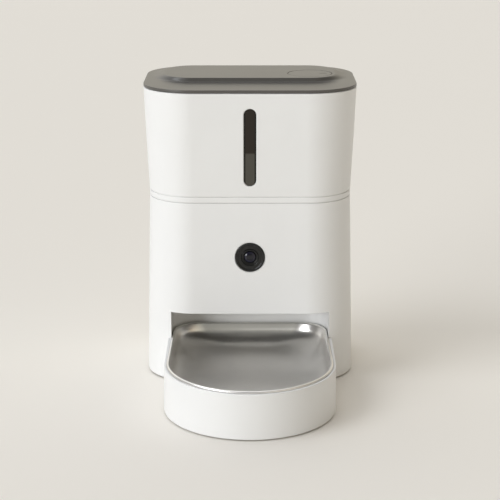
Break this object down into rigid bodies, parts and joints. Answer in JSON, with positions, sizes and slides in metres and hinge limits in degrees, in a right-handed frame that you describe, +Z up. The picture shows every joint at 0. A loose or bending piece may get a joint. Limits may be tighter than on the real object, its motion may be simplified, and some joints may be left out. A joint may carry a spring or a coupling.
{
  "type": "camera pet feeder",
  "caption": "Automatic dry-food pet feeder: flared hopper tank with level window, rotary portioner, camera in the base and a steel bowl in a pull-out tray.",
  "frame": {"origin": "on the table under the middle of the whole feeder, tray included", "axes": "+Z up, -Y to the front where the bowl is, +X to the right as seen from the front"},
  "size_m": [0.22, 0.3216, 0.3152],
  "materials": {
    "white_shell": "fine satin moulded ABS",
    "inner_white": "plain moulded ABS",
    "grey_lid": "satin warm grey ABS",
    "dark_seal": "soft silicone seal",
    "smoked_window": "polished smoked acrylic",
    "black_trim": "gloss black ABS",
    "lens_glass": "coated lens glass",
    "circuit_board": "solder-masked board",
    "gear_plastic": "natural acetal",
    "plain_steel": "bright zinc-plated steel",
    "soft_stirrer": "soft silicone",
    "soft_rubber": "matt rubber",
    "bowl_steel": "satin pressed stainless steel"
  },
  "bodies": {
    "base": {"base_shell": "white_shell", "alcove_liner": "inner_white", "food_chute": "inner_white", "base_deck": "inner_white", "shaft_bush": "gear_plastic", "gear_plate": "plain_steel", "drive_motor": "plain_steel", "camera_bezel": "black_trim", "camera_barrel": "black_trim", "camera_lens": "lens_glass", "camera_board": "circuit_board", "speaker": "black_trim", "power_inlet": "black_trim", "button_switch": "circuit_board", "bottom_cover": "inner_white", "battery_box": "inner_white", "battery_contacts_front": "plain_steel", "battery_contacts_rear": "plain_steel", "foot_left_front": "soft_rubber", "foot_left_rear": "soft_rubber", "foot_right_front": "soft_rubber", "foot_right_rear": "soft_rubber", "screw_left_front": "plain_steel", "screw_left_rear": "plain_steel", "screw_right_front": "plain_steel", "screw_right_rear": "plain_steel", "control_board": "circuit_board"},
    "tank": {"tank_shell": "white_shell", "level_window": "smoked_window", "hopper": "inner_white", "tank_floor": "white_shell", "outlet_shield": "inner_white"},
    "lid": {"lid_shell": "grey_lid", "lid_liner": "inner_white", "lid_gasket": "dark_seal", "desiccant_cup": "inner_white"},
    "lock": {"lock_knob": "grey_lid", "lock_tongue": "grey_lid", "lock_screw": "plain_steel"},
    "cap": {"desiccant_cap": "grey_lid"},
    "rotor": {"portion_rotor": "gear_plastic", "stirrer": "soft_stirrer"},
    "drive": {"drive_gear": "gear_plastic", "drive_shaft": "plain_steel"},
    "pinion": {"motor_pinion": "plain_steel"},
    "tray": {"tray_shell": "white_shell", "tray_floor": "white_shell", "tray_pad_front": "soft_rubber", "tray_pad_left": "soft_rubber", "tray_pad_right": "soft_rubber"},
    "bowl": {"steel_bowl": "bowl_steel"},
    "door": {"battery_door": "inner_white"},
    "button": {"reset_button": "grey_lid"}
  },
  "joints": [
    {"name": "tank_lift", "type": "slide", "parent": "base", "child": "tank", "axis": [0, 0, 1], "range_m": [0, 0.06]},
    {"name": "lid_lift", "type": "slide", "parent": "tank", "child": "lid", "axis": [0, 0, 1], "range_m": [0, 0.06]},
    {"name": "lock_turn", "type": "hinge", "parent": "lid", "child": "lock", "pos_m": [0.063, 0.0803, 0.3], "axis": [0, 0, 1], "range_deg": [0, 90]},
    {"name": "desiccant_turn", "type": "hinge", "parent": "lid", "child": "cap", "pos_m": [-0.04, 0.0783, 0.284], "axis": [0, 0, 1], "range_deg": [0, 45]},
    {"name": "rotor_spin", "type": "hinge", "parent": "tank", "child": "rotor", "pos_m": [0, 0.0783, 0.19], "axis": [0, 0, 1], "continuous": true},
    {"name": "drive_spin", "type": "hinge", "parent": "base", "child": "drive", "pos_m": [0, 0.0783, 0.169], "axis": [0, 0, 1], "continuous": true},
    {"name": "motor_spin", "type": "hinge", "parent": "base", "child": "pinion", "pos_m": [0, 0.1033, 0.169], "axis": [0, 0, 1], "continuous": true},
    {"name": "tray_slide", "type": "slide", "parent": "base", "child": "tray", "axis": [0, -1, 0], "range_m": [0, 0.09]},
    {"name": "bowl_lift", "type": "slide", "parent": "tray", "child": "bowl", "axis": [0, 0, 1], "range_m": [0, 0.024]},
    {"name": "battery_door_open", "type": "hinge", "parent": "base", "child": "door", "pos_m": [0, 0.0612, 0.0033], "axis": [-1, 0, 0], "range_deg": [0, 95]},
    {"name": "reset_press", "type": "slide", "parent": "base", "child": "button", "axis": [0, -1, 0], "range_m": [0, 0.0012], "stiffness_N_per_m": 400}
  ],
  "couplings": [
    {"joint": "drive_spin", "follows": "rotor_spin", "ratio": 1},
    {"joint": "motor_spin", "follows": "rotor_spin", "ratio": -3}
  ]
}
